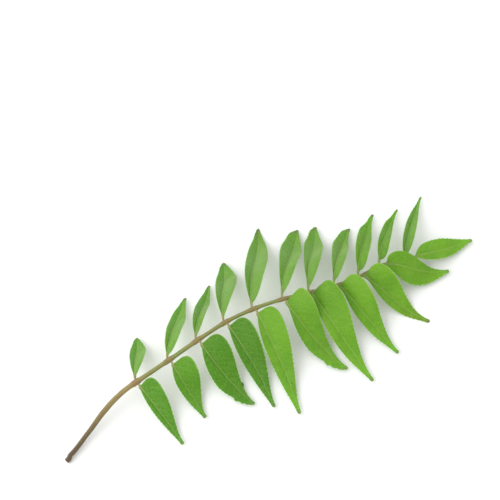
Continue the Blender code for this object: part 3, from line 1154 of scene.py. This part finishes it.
class CURRYLEAF_OT_leaflet_stalks(bpy.types.Operator):
    """Build the short stalks that carry the leaflets"""
    bl_idname = "curryleaf.leaflet_stalks"
    bl_label = "Leaflet Stalks"

    def execute(self, context):
        rest = context.scene.curry_leaf_shape.thickness / MM / 2
        bm = bmesh.new()
        warm_layer = bm.verts.layers.float.new("stalk_joint")
        young_layer = bm.verts.layers.float.new("stalk_young")
        shares = [k / LEAF_STALK_STEPS for k in range(LEAF_STALK_STEPS + 1)]
        for side, row in [(side, row) for side, (_, rows) in SIDES.items() for row in rows]:
            axis = axis_of(side, row, ground_under(row) + rest)
            path, radii = [], []
            for share in shares:
                place = share * (LEAF_STALK + LEAF_STALK_RUN_ON)
                path.append(on_axis(axis, place / (LEAF_STALK + row.length)))
                waist = LEAF_STALK_WAIST * math.sin(math.pi * min(1, place / LEAF_STALK))
                taper = LEAF_STALK_TAPER * max(0.0, place - LEAF_STALK) / LEAF_STALK_RUN_ON
                radii.append((LEAF_STALK_RADIUS - waist) * (1 - taper))
            rings = tube_rings(bm, path, radii, LEAF_STALK_SIDES, leaf_stalk_profile)
            for share, ring in zip(shares, rings):
                for vert in ring:
                    vert[warm_layer] = WARMTH[side] * (1 - WARMTH_LOSS * share)
                    vert[young_layer] = youth(row)
            bm.faces.new(list(reversed(rings[0])))
            bm.faces.new(rings[-1])
        bmesh.ops.recalc_face_normals(bm, faces=bm.faces)
        skin = leaflet_stalk_skin(context.scene.curry_leaf_colours)
        finished(mesh_object("leaflet_stalks", bm, (skin,)))
        return {"FINISHED"}


def pale_floor(settings):
    bm = bmesh.new()
    bmesh.ops.create_grid(bm, x_segments=1, y_segments=1, size=FLOOR_HALF)
    mesh = bpy.data.meshes.new("floor")
    bm.to_mesh(mesh)
    bm.free()
    material, tree, inputs = started("floor_white", 0.9)
    feed_all(tree, inputs, Base_Color=settings.floor, Specular_IOR_Level=0.1)
    mesh.materials.append(material)
    floor = placed("floor", mesh)


def soft_light(settings):
    """A large lamp on one side, and even white light from all round."""
    world = bpy.data.worlds.new("studio")
    world.use_nodes = True
    sky = world.node_tree.nodes["Background"].inputs
    feed_all(world.node_tree, sky, Color=(1, 1, 1), Strength=settings.world)
    bpy.context.scene.world = world
    data = bpy.data.lights.new("main_light", "AREA")
    data.energy = settings.lamp
    data.size = LAMP_SIZE
    lamp = placed("main_light", data)
    lamp.location = LAMP_PLACE
    lamp.rotation_euler = (-LAMP_PLACE).to_track_quat("-Z", "Y").to_euler()


def aimed_camera(settings):
    """A camera over the floor's near edge, turned about its own line of sight."""
    elevation, roll = settings.elevation, settings.roll
    flat = Vector((1, 0, 0))
    rising = Vector((0, math.sin(elevation), math.cos(elevation)))
    back = Vector((0, -math.cos(elevation), math.sin(elevation)))
    right = math.cos(roll) * flat - math.sin(roll) * rising
    upward = math.sin(roll) * flat + math.cos(roll) * rising
    data = bpy.data.cameras.new("camera")
    data.lens = settings.lens
    data.sensor_width = SENSOR_WIDTH
    data.clip_start = CLIP_START
    camera = placed("camera", data)
    turned = Matrix((right, upward, back)).transposed().to_4x4()
    camera.matrix_world = Matrix.Translation(LOOK_AT + settings.distance * back) @ turned
    bpy.context.scene.camera = camera


class CURRYLEAF_OT_stage(bpy.types.Operator):
    """Build the pale floor, the soft studio light and the camera"""
    bl_idname = "curryleaf.stage"
    bl_label = "Floor, Light and Camera"

    def execute(self, context):
        settings = context.scene.curry_leaf_stage
        pale_floor(settings)
        soft_light(settings)
        aimed_camera(settings)
        context.scene.view_settings.view_transform = "Standard"
        return {"FINISHED"}


class CURRYLEAF_PT_panel(bpy.types.Panel):
    """Sizes, colours and buttons of the curry leaf"""
    bl_label = "Curry Leaf Sprig"
    bl_space_type = "VIEW_3D"
    bl_region_type = "UI"
    bl_category = "Curry Leaf"

    def draw(self, context):
        layout = self.layout
        for group in ("curry_leaf_shape", "curry_leaf_colours", "curry_leaf_stage"):
            settings = getattr(context.scene, group)
            column = layout.column(align=True)
            for name in settings.__annotations__:
                column.prop(settings, name)
        for operator in OPERATORS:
            layout.operator(operator.bl_idname)


OPERATORS = (
    CURRYLEAF_OT_main_stalk,
    CURRYLEAF_OT_leaflet_stalks,
    CURRYLEAF_OT_near_leaflets,
    CURRYLEAF_OT_far_leaflets,
    CURRYLEAF_OT_end_leaflet,
    CURRYLEAF_OT_stage,
)
GROUPS = (
    ("curry_leaf_shape", CurryLeafShape),
    ("curry_leaf_colours", CurryLeafColours),
    ("curry_leaf_stage", CurryLeafStage),
)


def register():
    for name, group in GROUPS:
        bpy.utils.register_class(group)
        setattr(bpy.types.Scene, name, PointerProperty(type=group))
    for item in (*OPERATORS, CURRYLEAF_PT_panel):
        bpy.utils.register_class(item)


def unregister():
    for item in (CURRYLEAF_PT_panel, *reversed(OPERATORS)):
        bpy.utils.unregister_class(item)
    for name, group in reversed(GROUPS):
        delattr(bpy.types.Scene, name)
        bpy.utils.unregister_class(group)


def main():
    register()
    bpy.ops.curryleaf.main_stalk()
    bpy.ops.curryleaf.leaflet_stalks()
    bpy.ops.curryleaf.near_leaflets()
    bpy.ops.curryleaf.far_leaflets()
    bpy.ops.curryleaf.end_leaflet()
    bpy.ops.curryleaf.stage()


if __name__ == "__main__":
    main()
